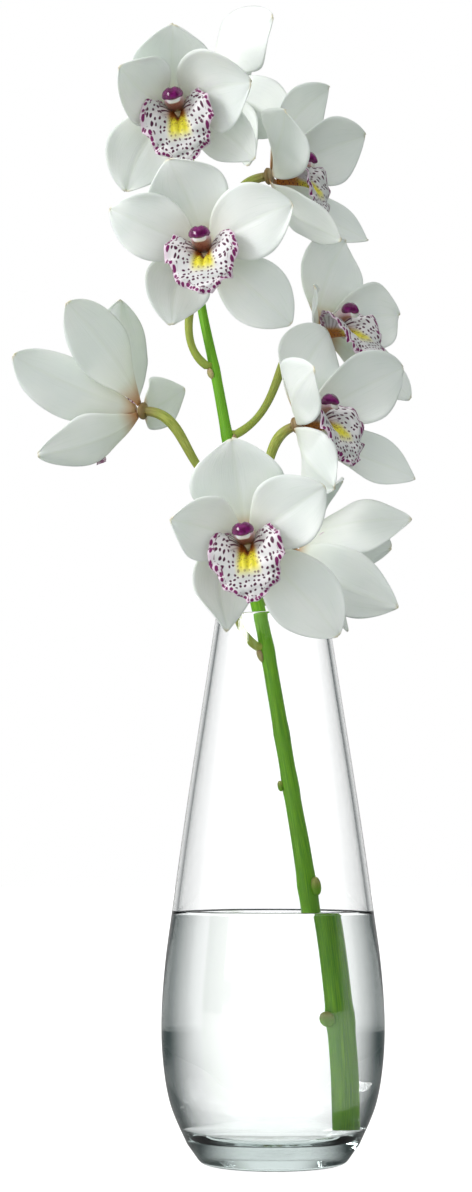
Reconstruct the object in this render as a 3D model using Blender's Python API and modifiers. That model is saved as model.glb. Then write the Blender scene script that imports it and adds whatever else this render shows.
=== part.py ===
"""A clear glass flower vase with one cut cymbidium spray standing in it.

The vase is one blown piece of glass. The spray is a peduncle with nine flowers, and each flower is a
pedicel, a whorl of three sepals, a pair of petals, a lip and a column. The frame has +Z up, +X to the
right and +Y to the back, with its origin at the centre of the vase's flat foot. Lengths are millimetres
until they are scaled by MM.
"""

import math

import bmesh
import bpy
from mathutils import Matrix, Vector

MM = 0.001
GAP = 0.3

# The vase: outer radius, height and wall thickness, from the rim down to the shoulder of the bowl.
VASE_HEIGHT = 320
RIM_WALL = 3.0
SIDE = [
    (34.0, 318.5, RIM_WALL),
    (40.0, 279, 3.1),
    (50.8, 208, 3.2),
    (59.0, 149, 3.4),
    (63.5, 114, 3.5),
    (65.5, 82, 3.6),
    (64.2, 56, 4.0),
]
# The lowest part of the outside, and of the inside bowl over the thick base: radius, height.
OUTER_FOOT = [(59.8, 33), (50.4, 11.5)]
INNER_BOWL = [(56.6, 40), (50.5, 29.5), (41, 21.5), (29, 18), (14, 17), (0, 17)]
HEEL_RADIUS = 6.0
FOOT_RADIUS = 39.0
HEEL_START_DEG = -38
TURNED_STEPS = 40
RIM_STEPS = 4
HEEL_STEPS = 3
STEPS_PER_SPAN = 2

# The peduncle: x, y, z of its centreline and its radius, from the cut end up.
PEDUNCLE = [
    (31.0, 8, 22.5, 6.0),
    (30.3, 8, 60, 6.0),
    (27.0, 8, 106, 5.9),
    (23.0, 8, 144, 5.8),
    (17.6, 8, 181, 5.4),
    (12.3, 7, 211, 4.9),
    (2.2, 4, 270, 4.5),
    (-5.0, 2, 310, 4.2),
    (-12.5, 2, 345, 3.9),
    (-20.5, 4, 397, 3.6),
    (-26.5, 4, 427, 3.4),
    (-33.9, 5, 468, 3.1),
    (-42.4, 5, 509, 2.8),
    (-48.6, 5, 550, 2.5),
    (-52.0, 8, 588, 2.2),
]
FOOT_TOP = 150
CURVE_SIDES_RESOLUTION = 2
PEDICEL_STEPS = 8
PEDICEL_RADIUS = 2.3
OVARY_RADIUS = 3.1
OVARY_NECK = 3.0

# The flowers. centre is where the sepals, petals, lip and column meet. azimuth turns the face from the
# front (-Y) towards +X, elevation lifts it, and roll turns it clockwise as seen from in front of it.
# leaves_at is the height of the pedicel's node on the peduncle, and leaves_towards its first direction.
# lip_droop is the share of its usual droop that the lip keeps.
# Each sepal and petal is (turn, start, tip, half_width, cup, roll): it leaves the hub in the direction
# turn, clockwise from the top of the flower, and start degrees forward of the flower's face. Its tip is
# given in the flower's own axes (right, up, out), its edges cup forwards by cup degrees, and roll turns
# the blade about its own spine.
FLOWERS = {
    "flower_1": dict(
        centre=(-57, -26, 625), azimuth=-2, elevation=-15, roll=-11,
        leaves_at=572, leaves_towards=(-0.5, -0.4, 0.75), lip_droop=1.0,
        dorsal=(2, 18, (9, 45, 26), 25, 28, 0),
        right_sepal=(122, 18, (39, -39, 22), 17, 20, 0),
        left_sepal=(-118, 15, (-39, -42, 14), 22, 20, 0),
        right_petal=(66, 44, (46, 3, 34), 27, 28, 0),
        left_petal=(-62, 44, (-25, 27, 38), 23, 32, 0),
    ),
    "flower_2": dict(
        centre=(-39, 34, 657), azimuth=115, elevation=4, roll=-8,
        leaves_at=584, leaves_towards=(0.2, 0.6, 0.75), lip_droop=1.0,
        dorsal=(-18, 15, (-40, 40, 26), 23, 20, 30),
        right_sepal=(130, 20, (23, -32, 37), 17, 20, 0),
        left_sepal=(-135, 20, (-23, -49, 17), 18, 20, 0),
        right_petal=(52, 30, (28, 32, 44), 22, 22, -10),
        left_petal=(-108, 28, (-41, -28, 34), 20, 22, 0),
    ),
    "flower_3": dict(
        centre=(-1, 6, 593), azimuth=70, elevation=2, roll=-12,
        leaves_at=550, leaves_towards=(0.8, 0.1, 0.6), lip_droop=0.9,
        dorsal=(18, 12, (34, 52, 34), 19, 20, -25),
        right_sepal=(132, 20, (44, -42, 46), 17, 20, 0),
        left_sepal=(-146, 20, (-12, -44, 45), 18, 12, -20),
        right_petal=(60, 40, (43, 21, 49), 23, 30, 0),
        left_petal=(-64, 26, (-36, 33, 24), 24, 16, 38),
    ),
    "flower_4": dict(
        centre=(-40, -36, 535), azimuth=-5, elevation=-8, roll=-7,
        leaves_at=474, leaves_towards=(-0.75, -0.4, 0.5), lip_droop=0.68,
        dorsal=(-6, 15, (-12, 51, 26), 26, 18, 0),
        right_sepal=(136, 14, (45, -51, 2), 20, 18, 0),
        left_sepal=(-120, 15, (-23, -42, 18), 21, 22, 0),
        right_petal=(68, 44, (56, 17, 18), 23, 15, 0),
        left_petal=(-64, 44, (-50, 29, 24), 20, 20, 0),
    ),
    "flower_5": dict(
        centre=(29, 24, 500), azimuth=52, elevation=6, roll=-10,
        leaves_at=432, leaves_towards=(0.85, 0.3, 0.5), lip_droop=0.62,
        dorsal=(0, 15, (23, 53, 18), 24, 22, -28),
        right_sepal=(128, 20, (48, -49, 27), 17, 20, 0),
        left_sepal=(-135, 20, (-28, -42, 18), 17, 20, 0),
        right_petal=(76, 40, (55, 4, 24), 22, 28, 0),
        left_petal=(-66, 16, (-32, 20, 24), 13, 16, 0),
    ),
    "flower_6": dict(
        centre=(15, -24, 432), azimuth=52, elevation=10, roll=-8,
        leaves_at=385, leaves_towards=(0.6, -0.5, 0.7), lip_droop=0.95,
        dorsal=(6, 8, (36, 56, 14), 22, 16, -30),
        right_sepal=(124, 20, (57, -43, 36), 18, 20, 0),
        left_sepal=(-140, 14, (-17, -46, 27), 21, 16, -55),
        right_petal=(62, 42, (61, 24, 42), 22, 26, 0),
        left_petal=(-64, 18, (-36, 20, 42), 20, 10, 36),
    ),
    "flower_7": dict(
        centre=(-78, -12, 443), azimuth=-112, elevation=8, roll=20,
        leaves_at=396, leaves_towards=(-0.85, -0.3, 0.3), lip_droop=1.0,
        dorsal=(16, 20, (34, 68, 31), 20, 20, -30),
        right_sepal=(120, 20, (52, -19, 43), 18, 20, 0),
        left_sepal=(-100, 10, (-42, 7, -9), 17, 20, 0),
        right_petal=(64, 40, (55, 38, 54), 21, 25, 10),
        left_petal=(-40, 35, (-26, 62, 24), 21, 20, -40),
    ),
    "flower_8": dict(
        centre=(-15, -50, 359), azimuth=-4, elevation=-9, roll=-9,
        leaves_at=302, leaves_towards=(-0.75, -0.45, 0.5), lip_droop=0.95,
        dorsal=(0, 12, (2, 58, 22), 28, 18, 0),
        right_sepal=(140, 12, (43, -63, 4), 22, 20, 0),
        left_sepal=(-118, 6, (-18, -48, 20), 20, 24, 0),
        right_petal=(64, 48, (50, 24, 18), 22, 15, 0),
        left_petal=(-58, 46, (-37, 19, 36), 20, 20, 0),
    ),
    "flower_9": dict(
        centre=(14, 20, 363), azimuth=86, elevation=0, roll=0,
        leaves_at=330, leaves_towards=(0.6, 0.6, 0.5), lip_droop=1.0,
        dorsal=(8, 20, (25, 46, 29), 17, 25, 0),
        right_sepal=(140, 20, (27, -46, 32), 17, 20, 0),
        left_sepal=(-124, 20, (-25, -37, 62), 24, 18, 0),
        right_petal=(62, 40, (34, 5, 56), 21, 25, 0),
        left_petal=(-56, 40, (-27, 13, 68), 22, 22, 0),
    ),
}
SEPALS = ("dorsal", "right_sepal", "left_sepal")
PETALS = ("right_petal", "left_petal")
SEPAL_RISE = 0.9
PETAL_RISE = 3.1
SEPAL_HUB = 5.6
PETAL_HUB = 4.8
HUB_THICKNESS = 1.6
TEPAL_THICKNESS = 0.9
TEPAL_ALONG = 6
TEPAL_ACROSS = 4
ROOT_INSET = 1.3
CLAW_SHARE = 0.13
TIP_HALF_WIDTH = 0.7

# The lip, by share of its length: the droop of its middle line in degrees, its half width, and the angle
# its cross section reaches half way out and at the edge.
LIP_LENGTH = 47
LIP_ALONG = 9
LIP_ACROSS = 6
LIP_THICKNESS = 0.9
LIP_RISE = 4.6
LIP_DROP = 6.0
LIP_DROOP = [(0.0, 5), (0.3, 15), (0.5, 45), (0.7, 82), (1.0, 108)]
LIP_HALF_WIDTHS = [
    (0.0, 4.5), (0.12, 13), (0.26, 27), (0.42, 28), (0.54, 23),
    (0.66, 15.5), (0.8, 15.5), (0.92, 11), (1.0, 3),
]
LIP_SIDES = [(0.0, 65), (0.12, 72), (0.26, 74), (0.42, 60), (0.54, 38), (0.66, 12), (0.8, -5), (1.0, -10)]
LIP_EDGES = [(0.0, 75), (0.12, 85), (0.26, 84), (0.42, 45), (0.54, 12), (0.66, -10), (0.8, -25), (1.0, -30)]

COLUMN_PATH = [
    (4.5, 0.6, 3.1), (7, 0.7, 3.1), (12, 3.7, 3.3), (17, 5.9, 3.5),
    (22, 6.6, 3.9), (26, 5.6, 4.1), (28.5, 3.8, 2.9),
]

# Sheathing bracts and the stubs of cut lower flowers: height on the peduncle, direction round it from
# +X towards +Y in degrees, and half sizes out of the stem, round it and along it.
BRACTS = {
    "bract_1": dict(height=297, around=200, half=(1.6, 3.2, 4.5)),
    "bract_2": dict(height=428, around=-20, half=(1.5, 2.6, 3.6)),
    "bract_3": dict(height=469, around=215, half=(1.5, 2.6, 3.6)),
    "stub_1": dict(height=219, around=190, half=(1.8, 2.2, 3.2)),
    "stub_2": dict(height=160, around=-50, half=(3.0, 3.0, 5.5)),
    "stub_3": dict(height=83, around=235, half=(3.4, 3.4, 4.2)),
}


def clear_scene():
    """Remove whatever the file opened with."""
    for obj in list(bpy.data.objects):
        bpy.data.objects.remove(obj)


def new_collection(name):
    found = bpy.data.collections.new(name)
    bpy.context.scene.collection.children.link(found)
    return found


def make_material(name, color, roughness, transmission=0.0):
    material = bpy.data.materials.new(name)
    material.use_nodes = True
    shader = material.node_tree.nodes["Principled BSDF"]
    shader.inputs["Base Color"].default_value = (*color, 1)
    shader.inputs["Roughness"].default_value = roughness
    shader.inputs["Transmission Weight"].default_value = transmission
    return material


def blended(knots, at):
    """The value at a position, eased between (position, value) pairs."""
    for (low, first), (high, second) in zip(knots, knots[1:]):
        if at <= high:
            share = (at - low) / (high - low)
            share = share * share * (3 - 2 * share)
            return first + (second - first) * share
    return knots[-1][1]


def catmull_rom(p, q, r, s, t):
    """One coordinate of a Catmull-Rom curve, at share t of the way from q to r."""
    square = (2 * p - 5 * q + 4 * r - s) * t**2
    cube = (3 * q - p - 3 * r + s) * t**3
    return 0.5 * (2 * q + (r - p) * t + square + cube)


def smooth_through(knots, steps):
    """Points on a Catmull-Rom curve through the knots, steps of them to a span."""
    points = []
    for i in range(len(knots) - 1):
        a, b = knots[max(i - 1, 0)], knots[i]
        c, d = knots[i + 1], knots[min(i + 2, len(knots) - 1)]
        for step in range(steps):
            points.append(tuple(catmull_rom(*four, step / steps) for four in zip(a, b, c, d)))
    points.append(tuple(knots[-1]))
    return points


def vase_profile():
    """The glass in half section, from the axis of the floor up the inside, over the rim and down."""
    outside = smooth_through([(r, z) for r, z, _ in SIDE] + OUTER_FOOT, STEPS_PER_SPAN)
    inside = smooth_through([(r - wall, z) for r, z, wall in SIDE] + INNER_BOWL, STEPS_PER_SPAN)
    rim_radius = RIM_WALL / 2
    rim_centre = SIDE[0][0] - rim_radius
    rim = []
    for step in range(1, RIM_STEPS):
        angle = math.pi * (1 - step / RIM_STEPS)
        rim.append((rim_centre + rim_radius * math.cos(angle), SIDE[0][1] + rim_radius * math.sin(angle)))
    heel = []
    for step in range(HEEL_STEPS + 1):
        angle = math.radians(HEEL_START_DEG + (-90 - HEEL_START_DEG) * step / HEEL_STEPS)
        out, up = HEEL_RADIUS * math.cos(angle), HEEL_RADIUS * math.sin(angle)
        heel.append((FOOT_RADIUS + out, HEEL_RADIUS + up))
    return inside[::-1] + rim + outside + heel + [(0, 0)]


def add_object(name, mesh, material, collection):
    obj = bpy.data.objects.new(name, mesh)
    mesh.materials.append(material)
    collection.objects.link(obj)
    return obj


def build_vase(collection, glass):
    """A turned shape: the half section is screwed round the Z axis."""
    outline = bmesh.new()
    points = [outline.verts.new((r * MM, 0, z * MM)) for r, z in vase_profile()]
    for first, second in zip(points, points[1:]):
        outline.edges.new((first, second))
    mesh = bpy.data.meshes.new("vase")
    outline.to_mesh(mesh)
    outline.free()
    vase = add_object("vase", mesh, glass, collection)
    screw = vase.modifiers.new("turn", "SCREW")
    screw.steps = TURNED_STEPS
    screw.render_steps = TURNED_STEPS
    screw.use_merge_vertices = True
    screw.merge_threshold = 0.00001
    screw.use_smooth_shade = True


def build_tube(name, path, collection, material, resolution=CURVE_SIDES_RESOLUTION):
    """A round rod along (x, y, z, radius) points, as a bevelled curve with closed ends."""
    curve = bpy.data.curves.new(name, "CURVE")
    curve.dimensions = "3D"
    curve.bevel_depth = MM
    curve.bevel_resolution = resolution
    curve.use_fill_caps = True
    spline = curve.splines.new("POLY")
    spline.points.add(len(path) - 1)
    for point, (x, y, z, radius) in zip(spline.points, path):
        point.co = (x * MM, y * MM, z * MM, 1)
        point.radius = radius
    curve.materials.append(material)
    tube = bpy.data.objects.new(name, curve)
    collection.objects.link(tube)
    return tube


def peduncle_at(height):
    """Centre point and radius of the peduncle at a height."""
    for low, high in zip(PEDUNCLE, PEDUNCLE[1:]):
        if height <= high[2]:
            share = (height - low[2]) / (high[2] - low[2])
            x, y, z, radius = (a + (b - a) * share for a, b in zip(low, high))
            return Vector((x, y, z)), radius
    return Vector(PEDUNCLE[-1][:3]), PEDUNCLE[-1][3]


def build_peduncle(collection, material):
    """The main stalk, in two lengths: the foot that stands in the water and the rest above it."""
    path = smooth_through(PEDUNCLE, STEPS_PER_SPAN)
    foot = [point for point in path if point[2] < FOOT_TOP]
    rest = [point for point in path if point[2] > FOOT_TOP]
    low, high = foot[-1], rest[0]
    for end, height in ((foot, FOOT_TOP - GAP / 2), (rest, FOOT_TOP + GAP / 2)):
        share = (height - low[2]) / (high[2] - low[2])
        cut = tuple(a + (b - a) * share for a, b in zip(low, high))
        end.insert(len(end) if end is foot else 0, cut)
    build_tube("peduncle_foot", foot, collection, material)
    build_tube("peduncle", rest, collection, material)


def flower_frame(flower):
    """Matrix from a flower's own axes (right, up and out of its face) to the vase's."""
    turn, lift = math.radians(flower["azimuth"]), math.radians(flower["elevation"])
    out = Vector((math.sin(turn) * math.cos(lift), -math.cos(turn) * math.cos(lift), math.sin(lift)))
    up = Vector((-math.sin(turn) * math.sin(lift), math.cos(turn) * math.sin(lift), math.cos(lift)))
    rotation = Matrix((up.cross(out), up, out)).transposed()
    roll = Matrix.Rotation(-math.radians(flower["roll"]), 3, "Z")
    return Matrix.Translation(flower["centre"]) @ (rotation @ roll).to_4x4()


def tepal_half_width(full_width, share):
    """The outline of a sepal or petal: a narrow claw, widest past the middle, and a blunt point."""
    body = math.sin(math.pi * min(share**1.25, 1.0)) ** 0.72
    claw = CLAW_SHARE * (1 - share) ** 2
    return max(TIP_HALF_WIDTH, full_width * math.hypot(body, claw))


def bent_across(side, half_width, middle, edge):
    """Sideways and forward travel over a cross section whose slope is middle half way out, then edge."""
    steps = 8
    slopes = [(0.0, 0.0), (0.5, middle), (1.0, edge)]
    across = raised = 0.0
    for step in range(steps):
        slope = math.radians(blended(slopes, abs(side) * (step + 0.5) / steps))
        across += half_width * side / steps * math.cos(slope)
        raised += half_width * abs(side) / steps * math.sin(slope)
    return across, raised


def tepal_point(shape, hub, rise, share, side):
    """A point of a sepal's or petal's surface in the flower's axes, rooted just inside its hub's rim."""
    turn, start, tip, half_width, cup, roll = shape
    turn, start = math.radians(turn), math.radians(start)
    outward = Vector((math.sin(turn), math.cos(turn), 0))
    sideways = Vector((math.cos(turn), -math.sin(turn), 0))
    root = outward * (hub - ROOT_INSET) + Vector((0, 0, rise))
    tip = Vector(tip) + Vector((0, 0, rise))
    bend = root + (outward * math.cos(start) + Vector((0, 0, math.sin(start)))) * (tip - root).length * 0.5
    spine = root * (1 - share) ** 2 + bend * 2 * share * (1 - share) + tip * share**2
    along = ((bend - root) * (1 - share) + (tip - bend) * share).normalized()
    sideways = (sideways - along * sideways.dot(along)).normalized()
    front = sideways.cross(along)
    swing = Matrix.Rotation(math.radians(roll) * min(1, share * 2), 3, along)
    cup *= math.sin(math.pi * min(1, 0.2 + share * 0.65))
    across, raised = bent_across(side, tepal_half_width(half_width, share), cup * 0.6, cup * 1.2)
    return spine + swing @ (sideways * across + front * raised)


def blade_mesh(name, along, across, place, thickness, matrix):
    """A grid bent by place(share, side) and given its thickness, as one closed mesh."""
    sheet = bmesh.new()
    bmesh.ops.create_grid(sheet, x_segments=along, y_segments=across, size=1)
    for vert in sheet.verts:
        share = (vert.co.x + 1) / 2
        share = 1 - (1 - share) ** 1.35
        vert.co = place(share, vert.co.y)
    mesh = bpy.data.meshes.new(name)
    sheet.to_mesh(mesh)
    sheet.free()
    blade = bpy.data.objects.new(name, mesh)
    bpy.context.scene.collection.objects.link(blade)
    wall = blade.modifiers.new("wall", "SOLIDIFY")
    wall.thickness = thickness
    wall.offset = 0
    wall.use_even_offset = False
    graph = bpy.context.evaluated_depsgraph_get()
    solid = bpy.data.meshes.new_from_object(blade.evaluated_get(graph))
    bpy.data.objects.remove(blade)
    solid.transform(matrix)
    solid.transform(Matrix.Scale(MM, 4))
    return solid


def hub_mesh(name, radius, rise, matrix):
    """The small disc that joins a whorl's claws on top of the ovary."""
    disc = bmesh.new()
    bmesh.ops.create_cone(
        disc, cap_ends=True, segments=12, radius1=radius, radius2=radius, depth=HUB_THICKNESS
    )
    mesh = bpy.data.meshes.new(name)
    disc.to_mesh(mesh)
    disc.free()
    mesh.transform(Matrix.Translation((0, 0, rise)))
    mesh.transform(matrix)
    mesh.transform(Matrix.Scale(MM, 4))
    return mesh


def build_whorl(name, shapes, radius, rise, matrix, collection, cutters, material):
    """Sepals or petals of one flower, joined by their hub into one solid."""
    hub = add_object(name, hub_mesh(name, radius, rise, matrix), material, collection)
    for part, shape in shapes.items():
        mesh = blade_mesh(
            f"{name}_{part}", TEPAL_ALONG, TEPAL_ACROSS,
            lambda share, side: tepal_point(shape, radius, rise, share, side), TEPAL_THICKNESS, matrix,
        )
        tepal = bpy.data.objects.new(f"{name}_{part}_guide", mesh)
        cutters.objects.link(tepal)
        tepal.hide_render = True
        tepal.display_type = "WIRE"
        union = hub.modifiers.new(part, "BOOLEAN")
        union.operation = "UNION"
        union.object = tepal
    return hub


def lip_point(share, side, droop):
    """A point of the lip: two side lobes stand up beside the column, and the front lobe turns down."""
    steps = 20
    out, forward = -LIP_DROP, LIP_RISE
    for step in range(steps):
        slope = math.radians(droop * blended(LIP_DROOP, share * (step + 0.5) / steps))
        out -= LIP_LENGTH * share / steps * math.sin(slope)
        forward += LIP_LENGTH * share / steps * math.cos(slope)
    slope = math.radians(droop * blended(LIP_DROOP, share))
    half_width = blended(LIP_HALF_WIDTHS, share)
    across, raised = bent_across(side, half_width, blended(LIP_SIDES, share), blended(LIP_EDGES, share))
    return Vector((across, out + raised * math.cos(slope), forward + raised * math.sin(slope)))


def build_flower(name, flower, collection, cutters, materials):
    """The five pieces of one flower."""
    matrix = flower_frame(flower)
    sepals = {part: flower[part] for part in SEPALS}
    petals = {part: flower[part] for part in PETALS}
    build_whorl(
        f"{name}_sepals", sepals, SEPAL_HUB, SEPAL_RISE, matrix, collection, cutters, materials["sepal"]
    )
    build_whorl(
        f"{name}_petals", petals, PETAL_HUB, PETAL_RISE, matrix, collection, cutters, materials["petal"]
    )
    lip = blade_mesh(
        f"{name}_lip", LIP_ALONG, LIP_ACROSS,
        lambda share, side: lip_point(share, side, flower["lip_droop"]), LIP_THICKNESS, matrix,
    )
    add_object(f"{name}_lip", lip, materials["lip"], collection)
    column = [(*(matrix @ Vector((0, up, forward))), radius) for forward, up, radius in COLUMN_PATH]
    build_tube(f"{name}_column", column, collection, materials["column"])
    build_pedicel(name, flower, matrix, collection, materials["pedicel"])


def build_pedicel(name, flower, matrix, collection, material):
    """The flower's own stalk: out of the peduncle's node, then into the back of the flower."""
    stem_centre, stem_radius = peduncle_at(flower["leaves_at"])
    towards = Vector(flower["leaves_towards"]).normalized()
    level = Vector((towards.x, towards.y, 0)).normalized()
    start = stem_centre + level * (stem_radius + PEDICEL_RADIUS + GAP)
    back = (matrix.to_3x3() @ Vector((0, 0, 1))).normalized()
    top = matrix @ Vector((0, 0, SEPAL_RISE - HUB_THICKNESS / 2 - GAP))
    end = top - back * OVARY_NECK
    reach = (end - start).length
    handles = [start, start + towards * reach * 0.45, end - back * reach * 0.4, end]
    path = []
    for step in range(PEDICEL_STEPS + 1):
        t = step / PEDICEL_STEPS
        weights = [(1 - t) ** 3, 3 * t * (1 - t) ** 2, 3 * t * t * (1 - t), t**3]
        point = sum((handle * weight for handle, weight in zip(handles, weights)), Vector())
        radius = PEDICEL_RADIUS + (OVARY_RADIUS - PEDICEL_RADIUS) * t
        path.append((*point, radius))
    path.append((*top, OVARY_RADIUS))
    build_tube(f"{name}_pedicel", path, collection, material)


def build_bract(name, bract, collection, material):
    """A small scale or stub on the side of the peduncle."""
    centre, radius = peduncle_at(bract["height"])
    angle = math.radians(bract["around"])
    away = Vector((math.cos(angle), math.sin(angle), 0))
    out, around, along = bract["half"]
    scale = bmesh.new()
    bmesh.ops.create_uvsphere(scale, u_segments=8, v_segments=6, radius=1)
    mesh = bpy.data.meshes.new(name)
    scale.to_mesh(mesh)
    scale.free()
    mesh.transform(Matrix.Diagonal((out * MM, around * MM, along * MM, 1)))
    obj = add_object(name, mesh, material, collection)
    obj.location = (centre + away * (radius + out + GAP)) * MM
    obj.rotation_euler = (0, 0, angle)


def main():
    clear_scene()
    collection = new_collection("flower_vase")
    cutters = new_collection("guides")
    cutters.hide_render = True
    glass = make_material("clear_glass", (0.95, 0.98, 0.97), 0.02, 1.0)
    green = make_material("green_stem", (0.25, 0.5, 0.06), 0.45)
    materials = {
        "sepal": make_material("white_sepal", (0.88, 0.9, 0.86), 0.5),
        "petal": make_material("white_petal", (0.9, 0.92, 0.88), 0.5),
        "lip": make_material("spotted_lip", (0.85, 0.72, 0.8), 0.5),
        "column": make_material("column", (0.5, 0.1, 0.35), 0.4),
        "pedicel": make_material("pedicel", (0.45, 0.55, 0.12), 0.45),
    }
    build_vase(collection, glass)
    build_peduncle(collection, green)
    for name, flower in FLOWERS.items():
        build_flower(name, flower, collection, cutters, materials)
    bract_green = make_material("bract", (0.45, 0.42, 0.2), 0.6)
    for name, bract in BRACTS.items():
        build_bract(name, bract, collection, bract_green)


main()
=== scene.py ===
# %% [markdown]
# # A glass vase with a cymbidium spray
# The object is two things: a blown glass vase, and one cut orchid stalk that stands loose in it. The
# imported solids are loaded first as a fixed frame. Each real piece is then modelled again over its own
# solid, finely enough to be looked at, and is tied to the body that it moves with.

# %% Load the frame
import math

import bmesh
import bpy
from mathutils import Matrix, Vector, noise


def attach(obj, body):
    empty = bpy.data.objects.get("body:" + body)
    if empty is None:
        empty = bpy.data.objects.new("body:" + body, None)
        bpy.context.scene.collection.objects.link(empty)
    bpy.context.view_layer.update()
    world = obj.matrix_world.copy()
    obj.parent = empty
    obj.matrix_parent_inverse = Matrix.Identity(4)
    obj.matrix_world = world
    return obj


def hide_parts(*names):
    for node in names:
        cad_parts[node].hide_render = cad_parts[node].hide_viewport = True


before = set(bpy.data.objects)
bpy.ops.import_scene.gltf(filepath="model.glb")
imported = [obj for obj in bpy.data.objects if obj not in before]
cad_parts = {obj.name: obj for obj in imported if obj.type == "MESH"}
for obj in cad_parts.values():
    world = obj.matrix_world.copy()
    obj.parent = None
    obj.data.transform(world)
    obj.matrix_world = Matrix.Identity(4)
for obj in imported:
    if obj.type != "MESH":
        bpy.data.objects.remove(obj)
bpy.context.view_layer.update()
MM = 0.001

# %% [markdown]
# ## Camera
# A long lens from a low stand: the eye is level with the lower third of the vase and tips up a little to
# take in the flowers. Low and far keeps the vase's mouth and foot almost flat lines.

# %% Camera
camera_data = bpy.data.cameras.new("camera")
camera_data.sensor_width = 36
camera_data.lens = 70.07
camera = bpy.data.objects.new("camera", camera_data)
camera.location = (-0.0217, -1.381, 0.1749)
camera.rotation_euler = (math.radians(90 + 6.516), 0, 0)
bpy.context.scene.collection.objects.link(camera)
bpy.context.scene.camera = camera


# %% [markdown]
# ## Building helpers
# Nearly every piece here is a surface with a length and a width, so one helper lays a grid and moves each
# of its points by a rule. The grid brings its own UV map, 0 to 1 along and across, which the veins and
# spots follow later. A tube is the same grid rolled up, with its seam and its ends merged shut.


# %% Mesh helpers
def add_sheet(shape, along, across, place):
    """A grid with a UV map, each point moved to place(u, v), with u along it and v across it."""
    made = bmesh.ops.create_grid(shape, x_segments=along, y_segments=across, size=1, calc_uvs=True)
    for vert in made["verts"]:
        vert.co = place((vert.co.x + 1) / 2, (vert.co.y + 1) / 2) * MM
    return made["verts"]


def new_shape():
    shape = bmesh.new()
    shape.loops.layers.uv.new("UVMap")
    return shape


def close_up(shape):
    """Merges seams and poles, then turns every face outwards."""
    bmesh.ops.remove_doubles(shape, verts=shape.verts, dist=0.000001)
    bmesh.ops.dissolve_degenerate(shape, edges=shape.edges, dist=0.0000001)
    bmesh.ops.recalc_face_normals(shape, faces=shape.faces)


def finish_piece(name, shape, materials, body, slot, *nodes):
    """Turns the shape into a smooth object that rides on a body and may stand for solids."""
    mesh = bpy.data.meshes.new(name)
    shape.to_mesh(mesh)
    shape.free()
    mesh.shade_smooth()
    for material in materials:
        mesh.materials.append(material)
    piece = bpy.data.objects.new(name, mesh)
    bpy.context.scene.collection.objects.link(piece)
    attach(piece, body)
    if nodes:
        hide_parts(*nodes)
    return piece


def eased(knots, at):
    """The value at a position, eased between (position, value) pairs."""
    for (low, first), (high, second) in zip(knots, knots[1:]):
        if at <= high:
            share = (at - low) / (high - low)
            share = share * share * (3 - 2 * share)
            return first + (second - first) * share
    return knots[-1][1]


def catmull_rom(p, q, r, s, t):
    """One coordinate of a Catmull-Rom curve, at share t of the way from q to r."""
    square = (2 * p - 5 * q + 4 * r - s) * t**2
    cube = (3 * q - p - 3 * r + s) * t**3
    return 0.5 * (2 * q + (r - p) * t + square + cube)


def smooth_through(knots, steps):
    """Points on a Catmull-Rom curve through the knots, steps of them to a span."""
    points = []
    for i in range(len(knots) - 1):
        a, b = knots[max(i - 1, 0)], knots[i]
        c, d = knots[i + 1], knots[min(i + 2, len(knots) - 1)]
        for step in range(steps):
            points.append(tuple(catmull_rom(*four, step / steps) for four in zip(a, b, c, d)))
    points.append(tuple(knots[-1]))
    return points


def carried_frames(centres):
    """A pair of crosswise directions at each point of a path, carried along it without twisting."""
    frames = []
    side = None
    for i in range(len(centres)):
        ahead = (centres[min(i + 1, len(centres) - 1)] - centres[max(i - 1, 0)]).normalized()
        if side is None:
            side = ahead.orthogonal().normalized()
        side = (side - ahead * side.dot(ahead)).normalized()
        frames.append((side, ahead.cross(side)))
    return frames


def add_tube(shape, path, around, swell=None):
    """A closed tube along (x, y, z, radius) stations. swell(share, angle) multiplies its radius."""
    centres = [Vector(station[:3]) for station in path]
    frames = carried_frames(centres)
    last = len(path) - 1

    def place(u, v):
        station = round(u * last)
        side, other = frames[station]
        angle = v * math.tau
        radius = path[station][3] * (swell(u, angle) if swell else 1)
        return centres[station] + (side * math.cos(angle) + other * math.sin(angle)) * radius

    return add_sheet(shape, last, around, place)


# %% [markdown]
# ## Material helpers
# Each finish is a small tree of nodes around one Principled shader. These helpers add a node and join it
# up in one line, so that a finish reads as a recipe: a mask, a mix, a bump.


# %% Material helpers
def new_finish(name, **values):
    """A material and its Principled shader, with plain values set on the shader's own sockets."""
    material = bpy.data.materials.new(name)
    material.use_nodes = True
    shader = material.node_tree.nodes["Principled BSDF"]
    for socket, value in values.items():
        shader.inputs[socket.replace("_", " ").title().replace("Ior", "IOR")].default_value = value
    return material, material.node_tree, shader


def add_node(tree, kind, inputs=(), **settings):
    """Adds a node, then sets its properties and sets or links its inputs."""
    made = tree.nodes.new("ShaderNode" + kind)
    for key, value in settings.items():
        setattr(made, key, value)
    for socket, value in dict(inputs).items():
        if isinstance(value, bpy.types.NodeSocket):
            tree.links.new(value, made.inputs[socket])
        else:
            made.inputs[socket].default_value = value
    return made


def calc(tree, operation, first, second=0.0):
    return add_node(tree, "Math", {0: first, 1: second}, operation=operation).outputs[0]


def fade(tree, value, start, end, low=0.0, high=1.0):
    """Low before start, high past end, and smooth between."""
    inputs = {"Value": value, "From Min": start, "From Max": end, "To Min": low, "To Max": high}
    return add_node(tree, "MapRange", inputs, interpolation_type="SMOOTHSTEP").outputs[0]


def blend_colour(tree, share, first, second):
    inputs = {0: share, 6: first, 7: second}
    return add_node(tree, "Mix", inputs, data_type="RGBA").outputs[2]


def scaled(tree, vector, scale):
    return add_node(tree, "Mapping", {"Vector": vector, "Scale": scale}).outputs[0]


def speckle(tree, vector, scale, detail=2.0):
    inputs = {"Vector": vector, "Scale": scale, "Detail": detail}
    return add_node(tree, "TexNoise", inputs).outputs["Fac"]


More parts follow.
